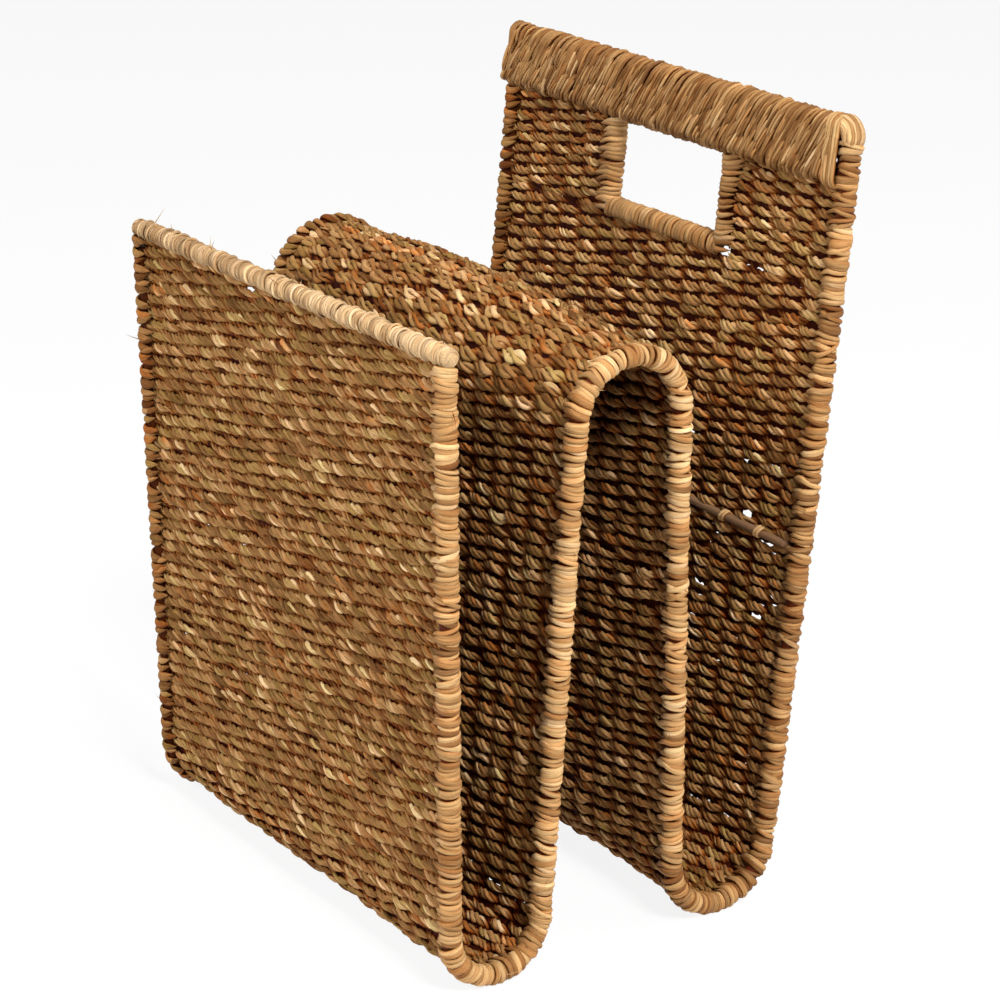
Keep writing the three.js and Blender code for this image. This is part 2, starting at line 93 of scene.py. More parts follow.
def traceWave(w):
    rail = w["rail"]
    frontBend = 0, rail + w["frontBend"]
    hump = w["humpSetBack"], w["humpHeight"] - w["humpRound"]
    backBend = (w["bendSpacing"], rail + w["backBend"])
    frontTop = (-w["frontReach"], w["frontHeight"])
    backTop = (w["bendSpacing"] + w["backReach"], w["backHeight"])
    r1, r2, r3 = w["frontBend"], w["humpRound"], w["backBend"]
    frontTouch = touchAngle(frontBend, r1, frontTop, 1)
    rise = touchAngle(frontBend, r1 + r2, hump, -1)
    fall = touchAngle(backBend, r3 + r2, hump, 1)
    backTouch = touchAngle(backBend, r3, backTop, -1)
    runs = [
        ("front", frontTop, onRound(frontBend, r1, frontTouch)),
        ("frontBend", frontBend, r1, frontTouch, rise + turn),
        ("rise", onRound(frontBend, r1, rise), onRound(hump, r2, rise + math.pi)),
        ("crest", hump, r2, rise + math.pi, fall - math.pi),
        ("fall", onRound(hump, r2, fall + math.pi), onRound(backBend, r3, fall)),
        ("backBend", backBend, r3, fall, backTouch + turn),
        ("back", onRound(backBend, r3, backTouch), backTop),
    ]
    ys, zs, ways, ends, done = [], [], [], {}, 0.0
    for run in runs:
        if len(run) == 3:
            a, b = np.array(run[1]), np.array(run[2])
            length = float(np.hypot(*(b - a)))
            share = np.linspace(0, 1, max(4, int(length / w["sample"])), endpoint=False)
            ys.append(a[0] + (b[0] - a[0]) * share)
            zs.append(a[1] + (b[1] - a[1]) * share)
            ways.append(np.full(len(share), math.atan2(b[1] - a[1], b[0] - a[0])))
        else:
            centre, radius, start, stop = run[1:]
            length = abs(stop - start) * radius
            share = np.linspace(0, 1, max(4, int(length / w["sample"])), endpoint=False)
            angle = start + (stop - start) * share
            ys.append(centre[0] + radius * np.cos(angle))
            zs.append(centre[1] + radius * np.sin(angle))
            ways.append(angle + math.copysign(math.pi / 2, stop - start))
        ends[run[0]] = (done, done + length)
        done += length
    ys.append([backTop[0]])
    zs.append([backTop[1]])
    ways.append([ways[-1][-1]])
    y, z, way = np.concatenate(ys), np.concatenate(zs), np.unwrap(np.concatenate(ways))
    s = np.concatenate([[0], np.cumsum(np.hypot(np.diff(y), np.diff(z)))])
    return s * done / s[-1], y, z, way, ends, done


waveS, waveY, waveZ, waveWay, runEnds, waveLength = traceWave(wave)


def risen(z, top):
    return np.clip((z - wave["rail"]) / (top - wave["rail"]), 0, 1)


waveHalf = np.where(
    waveS < runEnds["frontBend"][0] + wave["intoFrontBend"],
    wave["halfWidth"] + wave["frontFlare"] * risen(waveZ, wave["frontHeight"]),
    np.where(
        waveS < runEnds["backBend"][1] - wave["intoBackBend"],
        wave["halfWidth"] - wave["humpInset"] * risen(waveZ, wave["humpHeight"]),
        wave["halfWidth"] + wave["backFlare"] * risen(waveZ, wave["backHeight"])))


def halfAt(s):
    return np.interp(s, waveS, waveHalf)


def waveFrame(s):  # depth, height and direction of the sheet's middle line
    inside = np.clip(s, 0, waveLength)
    way = np.interp(inside, waveS, waveWay)
    ty, tz = np.cos(way), np.sin(way)
    y = np.interp(inside, waveS, waveY) + (s - inside) * ty
    z = np.interp(inside, waveS, waveZ) + (s - inside) * tz
    return y, z, ty, tz


def onSheet(x, s, out):  # out is the distance to the pocket side of the sheet's middle
    y, z, ty, tz = waveFrame(s)
    return np.stack(np.broadcast_arrays(x, y - tz * out, z + ty * out), axis=-1)


def sheetAxes(s):
    y, z, ty, tz = waveFrame(s)
    nil = 0 * ty
    return np.stack([nil, -tz, ty], axis=-1), np.stack([nil, ty, tz], axis=-1)


def sagAt(co):  # both tall panels stand a little lower at their left ends
    x, y, z = co.T
    toLeft = (wave["halfWidth"] - x) / (2 * wave["halfWidth"])
    above = wave["frontHeight"] - wave["rail"]
    front = wave["frontSag"] * np.maximum(0, z - wave["rail"]) / above
    back = wave["backSag"] * np.maximum(0, z - wave["rail"]) / (wave["backHeight"] - wave["rail"])
    return toLeft * np.where(y < 0, front, np.where(y > wave["bendSpacing"], back, 0))


crossways = np.array([1.0, 0.0, 0.0])

swell = {
    "crestBow": 6.5, "crestSpan": 95, "ripple": 0.4, "edge": 138,
    "backBend": 3.0, "frontBend": -1.5, "bendSpan": 32,
}
rippleWaves = [
    (rand.uniform(90, 230), rand.uniform(70, 200), rand.uniform(0, turn)) for _ in range(5)]


def swellAt(x, s):  # how far the woven sheet lies off its middle line
    fade = np.clip(1 - (x / swell["edge"]) ** 2, 0, 1)
    crestMiddle = sum(runEnds["crest"]) / 2
    near = np.clip(1 - ((s - crestMiddle) / swell["crestSpan"]) ** 2, 0, 1) ** 2
    ripple = sum(np.sin(turn * (x / a + s / b) + c) for a, b, c in rippleWaves)
    bends = sum(
        swell[name] * np.exp(-((s - sum(runEnds[name]) / 2) / swell["bendSpan"]) ** 2)
        for name in ("backBend", "frontBend"))
    return fade * (swell["crestBow"] * near + swell["ripple"] * ripple + bends)


def drift(count, every, size):  # a smooth random walk round zero
    knots = rand.normal(0, size, int(count / every) + 4)
    at = np.arange(count) / every + rand.uniform(0, 1)
    low = at.astype(int)
    t = at - low
    t = t * t * (3 - 2 * t)
    return knots[low] * (1 - t) + knots[low + 1] * t


def smoothed(values):
    padded = np.concatenate([values[:1], values, values[-1:]])
    return 0.25 * padded[:-2] + 0.5 * padded[1:-1] + 0.25 * padded[2:]


print("wave traced")


# strands are gathered into one mesh for each piece
class Bundle:
    def __init__(self, sides=8):
        self.angle = np.linspace(0, turn, sides, endpoint=False)
        self.sides, self.tubes = sides, []

    # tone and hue colour the strand, pale and warm; its depth value paints shade on it where it
    # lies down in the weave
    def add(self, centre, outward, sideways, wide, thick, tone=0.5, hue=0.0, shadeDepth=None, taper=2):
        count = len(centre)
        if count < 4:
            return
        wide = np.broadcast_to(wide, count).astype(float).copy()
        thick = np.broadcast_to(thick, count).astype(float).copy()
        if taper:
            fade = np.clip((np.arange(count) + 0.03) / taper, 0, 1) ** 0.6
            fade *= np.clip((np.arange(count)[::-1] + 0.03) / taper, 0, 1) ** 0.6
            wide, thick = wide * fade, thick * fade
        outward = np.broadcast_to(outward, (count, 3))
        sideways = np.broadcast_to(sideways, (count, 3))
        path = np.gradient(centre, axis=0)
        if np.sum(path * np.cross(sideways, outward)) < 0:
            sideways = -sideways
        sinA, cosA = np.sin(self.angle), np.cos(self.angle)
        ring = (centre[:, None] + outward[:, None] * (thick[:, None] * sinA)[..., None]
                + sideways[:, None] * (wide[:, None] * cosA)[..., None])
        along = np.concatenate([[0], np.cumsum(np.linalg.norm(np.diff(centre, axis=0), axis=1))])
        seed = rand.uniform(0, 900)
        fibre = np.stack([
            np.broadcast_to(along[:, None] + seed, ring.shape[:2]),
            wide[:, None] * cosA + seed * 0.37, thick[:, None] * sinA + seed * 0.11], axis=-1)
        # unless given, the strand's inward side is painted in shade and its outward side left
        # clear: painted shade
        if shadeDepth is None:
            shadeDepth = np.broadcast_to(0.5 + 0.5 * sinA, ring.shape[:2])
        grass = np.stack([
            np.broadcast_to(np.reshape(tone, (-1, 1)), ring.shape[:2]),
            np.broadcast_to(np.reshape(hue, (-1, 1)), ring.shape[:2]),
            shadeDepth], axis=-1)
        girth = turn * math.sqrt(float(np.mean(wide) ** 2 + np.mean(thick) ** 2) / 2)
        self.tubes.append((ring, fibre, grass, np.diff(along), girth))

    def unrolled(self):  # each strand is laid out flat, line under line, in the OFBake map
        steps = np.concatenate([t[3] for t in self.tubes])
        girth = max(t[4] for t in self.tubes)
        done = np.concatenate([[0], np.cumsum(steps)])
        lineLength = math.sqrt(done[-1] * girth) + steps.max()
        usable = lineLength - steps.max() * 1.01
        line = np.floor(done[:-1] / usable)
        lines = line.max() + 1
        side = np.arange(self.sides)
        u0 = (done[:-1] - line * usable) / lineLength
        u1 = u0 + steps / lineLength
        margin, strip = 0.06, 0.88
        v0 = (line[:, None] + margin + strip * side / self.sides) / lines
        v1 = (line[:, None] + margin + strip * (side + 1) / self.sides) / lines
        u0, u1 = (np.broadcast_to(u[:, None], v0.shape) for u in (u0, u1))
        return np.stack([u0, v0, u0, v1, u1, v1, u1, v0], axis=-1).reshape(-1)

    def make(self, name, finish, slot, *nodes):
        k = self.sides
        sizes = [len(t[0]) for t in self.tubes]
        starts = np.concatenate([[0], np.cumsum(sizes)[:-1]]) * k
        first = np.concatenate([start + np.arange(n - 1) * k for start, n in zip(starts, sizes)])
        a = first[:, None] + np.arange(k)
        b = first[:, None] + (np.arange(k) + 1) % k
        quads = np.stack([a, b, b + k, a + k], axis=-1).reshape(-1, 4)
        co = np.concatenate([t[0].reshape(-1, 3) for t in self.tubes])
        co[:, 2] -= sagAt(co)
        co[:, 1] -= wave["middleBack"]
        co[:, 2] = np.maximum(co[:, 2] - wave["footFlat"], 0.02)  # nothing dips into the floor
        mesh = bpy.data.meshes.new(name)
        mesh.vertices.add(len(co))
        mesh.vertices.foreach_set("co", (co * mm).astype(np.float32).ravel())
        mesh.loops.add(quads.size)
        mesh.loops.foreach_set("vertex_index", quads.astype(np.int32).ravel())
        mesh.polygons.add(len(quads))
        mesh.polygons.foreach_set("loop_start", np.arange(0, quads.size, 4, dtype=np.int32))
        mesh.polygons.foreach_set("use_smooth", np.ones(len(quads), bool))
        layer = mesh.uv_layers.new(name="OFBake")
        layer.data.foreach_set("uv", self.unrolled().astype(np.float32))
        for label, part in (("fibre", 1), ("grass", 2)):
            values = np.concatenate([t[part].reshape(-1, 3) for t in self.tubes])
            mesh.attributes.new(label, "FLOAT_VECTOR", "POINT").data.foreach_set(
                "vector", values.astype(np.float32).ravel())
        mesh.update(calc_edges=True)
        mesh.materials.append(finish)
        piece = addObject(name, mesh)
        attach(piece, "root")
        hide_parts(*nodes)
        print(f"made {name}: {len(quads) * 2} triangles")


def tint(*parts):  # a screen colour as the shaders want it
    shares = [v / 255 for v in parts]
    return (*(v / 12.92 if v <= 0.04045 else ((v + 0.055) / 1.055) ** 2.4 for v in shares), 1.0)


class Wire:  # a socket, so that shader maths reads as plain expressions
    def __init__(self, finish, socket):
        self.finish, self.socket = finish, socket

    def join(self, operation, first, second):
        return self.finish.node("ShaderNodeMath", {"operation": operation}, {0: first, 1: second})

    def __add__(self, other):
        return self.join("ADD", self, other)

    def __sub__(self, other):
        return self.join("SUBTRACT", self, other)

    def __rsub__(self, other):
        return self.join("SUBTRACT", other, self)

    def __mul__(self, other):
        return self.join("MULTIPLY", self, other)

    __radd__ = __add__
    __rmul__ = __mul__

    def held(self):  # kept between 0 and 1
        return self.finish.node("ShaderNodeClamp", {}, {0: self})


class Finish:  # the nodes of a material or of the world
    def __init__(self, owner):
        owner.use_nodes = True
        self.owner, self.tree = owner, owner.node_tree
        self.tree.nodes.clear()

    def node(self, kind, settings, sockets, output=0):
        made = self.tree.nodes.new(kind)
        for key, value in settings.items():
            if key == "stops":
                ramp = made.color_ramp
                while len(ramp.elements) < len(value):
                    ramp.elements.new(0.5)
                for element, (at, colour) in zip(ramp.elements, value):
                    element.position, element.color = at, colour
            else:
                setattr(made, key, value)
        for key, value in sockets.items():
            if isinstance(value, Wire):
                self.tree.links.new(value.socket, made.inputs[key])
            else:
                made.inputs[key].default_value = value
        return Wire(self, made.outputs[output]) if len(made.outputs) else None

    def mix(self, factor, first, second, blend="MIX"):
        settings = {"data_type": "RGBA", "blend_type": blend}
        return self.node("ShaderNodeMix", settings, {0: factor, 6: first, 7: second}, 2)

    def stretch(self, vector, by):
        return self.node("ShaderNodeVectorMath", {"operation": "MULTIPLY"}, {0: vector, 1: by})

    def noise(self, vector, scale, detail=2.0, rough=0.5):
        sockets = {"Vector": vector, "Scale": scale, "Detail": detail, "Roughness": rough}
        return self.node("ShaderNodeTexNoise", {}, sockets)

    def ramp(self, factor, stops):
        return self.node("ShaderNodeValToRGB", {"stops": stops}, {0: factor})

    def attribute(self, name):
        return self.node("ShaderNodeAttribute", {"attribute_name": name}, {}, "Vector")

    def parts(self, vector):
        return [self.node("ShaderNodeSeparateXYZ", {}, {0: vector}, axis) for axis in "XYZ"]

    def bumped(self, strength, distance, height):
        sockets = {"Strength": strength, "Distance": distance, "Height": height}
        return self.node("ShaderNodeBump", {}, sockets)

    def surface(self, sockets):
        shader = self.node("ShaderNodeBsdfPrincipled", {}, sockets)
        self.node("ShaderNodeOutputMaterial", {}, {"Surface": shader})
        return self.owner


# how fine the noises are for each millimetre along, across and through a strand
grassGrain = {
    "streak": (0.07, 1.5, 1.5), "thread": (0.16, 4.2, 4.2), "patch": (0.075, 0.12, 0.12),
    "cast": (0.055, 0.09, 0.09), "speck": (0.5, 1.9, 1.9), "bumpDepth": 0.0004,
}


def grassFinish(name, look):
    f = Finish(bpy.data.materials.new(name))
    fibre = f.attribute("fibre")
    tone, hue, shadeDepth = f.parts(f.attribute("grass"))
    streak = f.noise(f.stretch(fibre, grassGrain["streak"]), 1.0, 3.0, 0.6)
    thread = f.noise(f.stretch(fibre, grassGrain["thread"]), 1.0, 2.0, 0.55)
    patch = f.noise(f.stretch(fibre, grassGrain["patch"]), 1.0, 1.0, 0.5)
    cast = f.noise(f.stretch(fibre, grassGrain["cast"]), 1.7, 1.0, 0.5)
    level = (tone + look["streak"] * (streak - 0.5) + look["thread"] * (thread - 0.5)
             + look["patch"] * (patch - 0.5)).held()
    colour = f.ramp(level, look["stops"])
    warmth = (hue + look["cast"] * (cast - 0.5)).held()
    tinted = f.mix(1.0, colour, f.ramp(warmth, look["casts"]), "MULTIPLY")
    colour = f.mix(look["castShare"], colour, tinted)
    speck = f.noise(f.stretch(fibre, grassGrain["speck"]), 1.0, 2.0, 0.6)
    colour = f.mix(1.0, colour, f.ramp(speck, look["specks"]), "MULTIPLY")
    # painted shade: the colour darkens where the strand's depth value is low, down in the weave
    colour = f.mix(1.0, colour, f.ramp(shadeDepth, look["shadeByDepth"]), "MULTIPLY")
    return f.surface({
        "Base Color": colour, "Roughness": look["rough"] + look["roughSpan"] * (0.5 - streak),
        "Normal": f.bumped(look["bump"], grassGrain["bumpDepth"], streak * 0.6 + thread * 0.4),
        "Specular IOR Level": look["shine"]})


weaveLook = {
    "streak": 0.66, "thread": 0.5, "patch": 0.5, "cast": 1.0, "castShare": 0.85,
    "rough": 0.64, "roughSpan": 0.25, "bump": 1.0, "shine": 0.06,
    "stops": [(0.0, tint(84, 54, 26)), (0.3, tint(122, 88, 52)), (0.55, tint(154, 118, 76)),
              (0.8, tint(187, 154, 114)), (1.0, tint(224, 198, 162))],
    "casts": [(0.0, tint(238, 238, 190)), (0.35, tint(253, 244, 222)), (0.6, tint(255, 236, 216)),
              (0.82, tint(255, 224, 186)), (1.0, tint(255, 190, 116))],
    "specks": [(0.25, tint(150, 120, 90)), (0.36, tint(255, 255, 255))],
    "shadeByDepth": [(0.04, tint(106, 54, 8)), (0.28, tint(206, 158, 106)), (0.58, tint(255, 255, 255))],
}
bindingLook = {
    "streak": 0.62, "thread": 0.46, "patch": 0.42, "cast": 1.3, "castShare": 0.8,
    "rough": 0.58, "roughSpan": 0.25, "bump": 1.0, "shine": 0.12,
    "stops": [(0.0, tint(112, 76, 42)), (0.3, tint(158, 121, 80)), (0.55, tint(192, 158, 116)),
              (0.8, tint(222, 193, 152)), (1.0, tint(244, 222, 188))],
    "casts": [(0.0, tint(254, 250, 246)), (0.45, tint(254, 246, 222)), (1.0, tint(255, 222, 178))],
    "specks": [(0.22, tint(170, 136, 100)), (0.32, tint(255, 255, 255))],
    "shadeByDepth": [(0.15, tint(132, 76, 30)), (0.55, tint(222, 196, 164)), (0.85, tint(255, 255, 255))],
}
rimLook = {
    **bindingLook,
    "stops": [(0.0, tint(104, 82, 58)), (0.3, tint(152, 124, 94)), (0.55, tint(192, 164, 130)),
              (0.8, tint(228, 204, 170)), (1.0, tint(248, 230, 202))],
    "shadeByDepth": [(0.15, tint(118, 80, 46)), (0.45, tint(234, 222, 206)), (0.7, tint(255, 255, 255))],
}
weaveFinish = grassFinish("seagrass", weaveLook)
rimFinish = grassFinish("weathered seagrass binding", rimLook)
bindingFinish = grassFinish("pale seagrass binding", bindingLook)

stickLook = {
    "stops": [(0.2, tint(74, 50, 32)), (0.5, tint(122, 88, 58)), (0.8, tint(160, 124, 86))],
    "rough": 0.5, "bump": 0.5, "bumpDepth": 0.0003,
}


def stickFinish(look):
    f = Finish(bpy.data.materials.new("peeled cane"))
    fibre = f.attribute("fibre")
    grain = f.noise(f.stretch(fibre, (0.03, 1.8, 1.8)), 1.0, 3.0, 0.6)
    node = f.noise(f.stretch(fibre, (0.05, 0.05, 0.05)), 1.0, 1.0, 0.5)
    colour = f.ramp(grain * 0.7 + node * 0.3, look["stops"])
    bump = f.bumped(look["bump"], look["bumpDepth"], grain)
    rough = look["rough"] + 0.2 * grain
    return f.surface({"Base Color": colour, "Roughness": rough, "Normal": bump})


caneFinish = stickFinish(stickLook)

wireLook = {
    "dark": tint(30, 27, 25), "pale": tint(66, 58, 52), "rust": tint(96, 58, 36),
    "mottle": 160.0, "fine": 900.0, "worn": 60.0, "bump": 0.3, "bumpDepth": 0.0002,
}


def wireFinish(look):  # lacquered wire, with a little rust where the lacquer is thin
    f = Finish(bpy.data.materials.new("lacquered wire"))
    place = f.node("ShaderNodeTexCoord", {}, {}, "Object")
    mottle = f.noise(place, look["mottle"], 3.0, 0.6)
    fine = f.noise(place, look["fine"], 2.0, 0.5)
    worn = ((f.noise(place, look["worn"], 2.0, 0.5) - 0.62) * 8).held()
    colour = f.mix(mottle, look["dark"], look["pale"])
    return f.surface({
        "Base Color": f.mix(worn, colour, look["rust"]), "Metallic": 0.8 - 0.7 * worn,
        "Roughness": 0.35 + 0.3 * mottle,
        "Normal": f.bumped(look["bump"], look["bumpDepth"], fine)})


rodFinish = wireFinish(wireLook)
for name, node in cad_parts.items():  # the hidden wires keep their solids
    if name.endswith("_rod"):
        node.data.materials.clear()
        node.data.materials.append(rodFinish)
print("finishes ready")

# the woven sheet: plain weave, strand by strand, over and under upright stakes
weave = {
    "pitch": 3.55, "column": 16.65, "thick": 1.7, "step": 1.75, "wander": 0.22,
    "reachIn": 5.2, "pieceLength": 105, "underRim": 6.6,
    "blade": 0.44, "apart": 0.5, "rise": 0.6, "twist": 17, "crestTwist": 1.6, "deep": 3.4,
    "stake": 5.4, "shadeSheet": 4.7, "darkSheetThick": 0.45, "stakeStep": 4.0, "stakeReach": 144, "broken": 0.015,
}
weftTones = {
    "tone": 0.46, "edgeTone": 0.07, "edgeReach": 12, "hue": 0.46, "outerHue": 0.36,
    "pale": 0.34, "paleShare": 0.08, "rust": 0.45, "outerRust": 0.15, "rustShare": 0.06,
}
parting = {"far": 14, "tall": 4.5, "thin": 0.25, "thinMost": 0.6}
gapSpots = []  # places where the strands part: (x, s, reach, strength)


def partingAt(x, s, r):
    push, thin = 0 * x, 0 * x
    for gx, gs, reach, strength in gapSpots:
        if abs(gs - r) > parting["far"]:
            continue
        near = np.exp(-((x - gx) / reach) ** 2 - ((s - gs) / parting["tall"]) ** 2)
        push = push + strength * near * np.sign(s - gs)
        thin = thin + parting["thin"] * strength * near
    return push, np.clip(thin, 0, parting["thinMost"])


# lean, width at a stake, width between stakes, shift towards the pocket side, lift
faces = {
    "outer": (0.5, 3.3, 2.6, -0.6, 1.0),
    "bend": (0.4, 3.1, 2.2, 0.0, 1.7),
    "inner": (0.1, 3.1, 2.25, 0.2, 1.75),
    "crest": (0.1, 3.8, 2.95, 0.6, 1.5),
    "under": (0.2, 3.0, 2.1, -0.3, 1.8),
    "leftCheek": (0.2, 2.9, 2.1, 0.3, 1.7),
    "rightCheek": (-0.3, 2.9, 2.1, 0.3, 1.7),
}


def layWeft(bundle, r, odd, face, low=None, high=None):  # one strand, at r along the wave
    w, outer = weave, face == "outer"
    lean, full, slim, shift, lift = faces[face]
    side = float(halfAt(max(r, 0))) - w["reachIn"]
    low = -side if low is None else low
    high = side if high is None else high
    x = np.arange(low, high + w["step"] / 2, w["step"])
    count = len(x)
    if count < 6:
        return
    s = r + drift(count, 14, w["wander"])
    push, thin = partingAt(x, s, r)
    s = s + push
    # a half wave for each stake, so that every other strand lies on the near side of it
    phase = x / w["column"] + odd + rand.normal(0, 0.05) + drift(count, 10, 0.08)
    theta = math.pi * phase
    over = np.cos(theta)
    stake = np.floor(phase + 0.5).astype(int)  # the number of the stake that is nearest
    stake = stake - stake.min()
    stakes = stake.max() + 1

    def byStake(spread):
        return rand.normal(0, spread, stakes)[stake]

    near = np.abs(over)
    out = lift * over * (1 + smoothed(byStake(0.15))) * (1 - 0.5 * thin) + shift
    lie = lean * np.sin(theta) + smoothed(smoothed(byStake(0.5))) * near + drift(count, 6, 0.15)
    wide = slim + (full * (1 + smoothed(byStake(0.13))) - slim) * near ** 1.1
    wide = wide * (1 - thin)
    thick = w["thick"] * (0.8 + 0.2 * near) * (1 - 0.4 * thin)
    outward, sideways = sheetAxes(s)
    base = swellAt(x, s)
    sinA = np.sin(bundle.angle)
    c = weftTones
    atEdge = np.clip((np.abs(x) - side + c["edgeReach"]) / c["edgeReach"], 0, 1)
    weftTone = c["tone"] + rand.normal(0, 0.05) + smoothed(byStake(0.07)) + c["edgeTone"] * atEdge
    weftHue = c["outerHue" if outer else "hue"] + rand.normal(0, 0.1) + smoothed(byStake(0.12))
    rust = c["outerRust" if outer else "rust"]
    twist = w["twist"] * (w["crestTwist"] if face == "crest" else 1)
    roll = turn * x / twist + rand.uniform(0, turn) + drift(count, 10, 0.6)
    for blade in (0, turn / 3, -turn / 3):  # each strand is three blades that roll round each other
        aside = w["apart"] * wide * np.cos(roll + blade) + drift(count, 5, 0.12)
        above = w["rise"] * np.sin(roll + blade) + drift(count, 5, 0.1)
        plump = 1 + drift(count, 5, 0.16)
        height = thick * 0.62 * plump
        centre = onSheet(x, s + lie + aside, base + out + above)
        # how deep each blade lies in the weave, from which shade is painted in its crevices
        shadeDepth = np.abs((out + above)[:, None] + height[:, None] * sinA) / w["deep"]
        odds = rand.uniform(0, 1, stakes)[stake]
        pale, rusty = c["pale"] * (odds < c["paleShare"]), rust * (odds > 1 - c["rustShare"])
        tone = weftTone + rand.normal(0, 0.07) + smoothed(byStake(0.1) + pale)
        tone = tone + drift(count, 7, 0.05)
        hue = weftHue + rand.normal(0, 0.1) + smoothed(byStake(0.1) + rusty) + drift(count, 8, 0.1)
        bundle.add(centre, outward, sideways, wide * w["blade"] * plump, height, tone, hue, shadeDepth)


def layStakes(bundle, fromS, toS, low, high, loose=0.0):  # stakes painted in full shade, and dark sheets of painted shade between them
    w = weave
    for half in np.arange(math.ceil(2 * low / w["column"]), 2 * high / w["column"]):
        s = np.linspace(fromS - 2, toS + 2, int((toS - fromS) / w["stakeStep"]) + 3)
        x = half / 2 * w["column"] + drift(len(s), 6, 0.4)
        wide = w["shadeSheet"] if half % 2 else w["stake"]
        broken = rand.uniform(0, 1, len(s)) < (loose if half % 2 else 0)
        for gx, gs, reach, strength in gapSpots:
            broken |= (np.abs(x - gx) < reach + 3) & (np.abs(s - gs) < 3)
        normal, along = sheetAxes(s)
        centre = onSheet(x, s, swellAt(x, s))
        # a depth of nought: the stakes and the sheets between them take the darkest painted shade
        shadeDepth = np.zeros((len(s), bundle.sides))
        start = 0
        for stop in (*np.flatnonzero(broken), len(s)):
            part = slice(start, stop)
            bundle.add(
                centre[part], normal[part], crossways, wide, w["darkSheetThick"], 0.3, 0.95, shadeDepth[part],
                taper=1)
            start = stop + 1


# the back panel's parts, below its top edge and beside its middle
panel = {
    "sillDrop": 81.7, "holeMiddle": 3.4, "holeSide": 50.15, "bandDrop": 33.2, "stickDrop": 228.1,
    "sillHalf": 5.2, "underBand": 4, "besidePost": 7, "cheekPitch": 3.2, "handMiddle": 60,
}
panelTop = waveLength
sillRow = panelTop - panel["sillDrop"] - panel["sillHalf"]

wefts = np.arange(weave["underRim"], sillRow, weave["pitch"])
wefts = wefts + np.array([rand.normal(0, 0.2) for _ in wefts])
walls = [
    ("weave_front", 0, runEnds["front"][1], "front_panel_weave", "outer"),
    ("weave_front_bend", runEnds["front"][1], runEnds["rise"][0], "front_bend_weave", "bend"),
    ("weave_hump_front", *runEnds["rise"], "hump_front_weave", "inner"),
    ("weave_hump_crest", *runEnds["crest"], "hump_crest_weave", "crest"),
    ("weave_hump_back", *runEnds["fall"], "hump_back_weave", "under"),
    ("weave_back_bend", *runEnds["backBend"], "back_bend_weave", "inner"),
    ("weave_back", runEnds["back"][0], sillRow + 1, "back_panel_weave", "inner"),
]
stickS = panelTop - panel["stickDrop"]
gapSpots += [
    (38, stickS - 24, 4, 1.1), (100, stickS + 4.6, 3, 0.9), (121, stickS - 4.8, 4, 1.1),
    (128, stickS - 33, 2.5, 1.4), (119, stickS - 47, 2, 0.8), (-32, 7.5, 5, 1.9),
]
for _ in range(6):
    spot = rand.uniform(45, 138), rand.uniform(stickS - 150, stickS - 30)
    gapSpots.append((*spot, 1.6, rand.uniform(0.4, 0.7)))
for name, fromS, toS, node, face in walls:
    inside = [(index, r) for index, r in enumerate(wefts) if fromS <= r < toS]
    parts = max(1, math.ceil((toS - fromS) / weave["pieceLength"]))
    share = math.ceil(len(inside) / parts)
    for part in range(parts):
        bundle = Bundle(6)
        for index, r in inside[part * share:(part + 1) * share]:
            layWeft(bundle, r, index % 2, face)
        first, last = inside[part * share][1], inside[min(len(inside), (part + 1) * share) - 1][1]
        loose = weave["broken"] if name == "weave_back" and first < stickS else 0.0
        layStakes(bundle, first, last, -weave["stakeReach"], weave["stakeReach"], loose)
        label = f"{name}_{part + 1}" if parts > 1 else name
        bundle.make(label, weaveFinish, "seagrass_weave", node)

# the strips beside the hand hole
for label, side in (("left", -1), ("right", 1)):
    bundle = Bundle(6)
    post = panel["holeMiddle"] + side * panel["holeSide"]
    inner = post + side * panel["besidePost"]
    edge = side * (float(halfAt(panelTop - panel["handMiddle"])) - weave["reachIn"])
    low, high = sorted((inner, edge))
    top = panelTop - panel["bandDrop"] + panel["underBand"]
    for index, r in enumerate(np.arange(sillRow + 0.8, top, panel["cheekPitch"])):
        layWeft(bundle, r, index % 2, f"{label}Cheek", low, high)
    layStakes(bundle, sillRow, top, low, high)
    bundle.make(f"weave_{label}_cheek", weaveFinish, "seagrass_weave", f"{label}_cheek_weave")
print("sheet woven")

fibreEnd = {"bend": 0.4, "wide": 0.38, "tip": 0.12, "tone": 0.55, "hue": 0.4}


def stray(bundle, start, way, long):  # a loose fibre
    e = fibreEnd
    way = way / np.linalg.norm(way)
    bend = rand.normal(0, e["bend"], 3)
    t = np.linspace(0, 1, 7)[:, None]
    outward = np.cross(way, bend)
    outward = outward / np.linalg.norm(outward)
    fine = e["wide"] - (e["wide"] - e["tip"]) * t[:, 0]
    centre = start + long * (way * (t - 0.1) + bend * t ** 2)
    bundle.add(centre, outward, np.cross(outward, way), fine, fine, e["tone"], e["hue"])


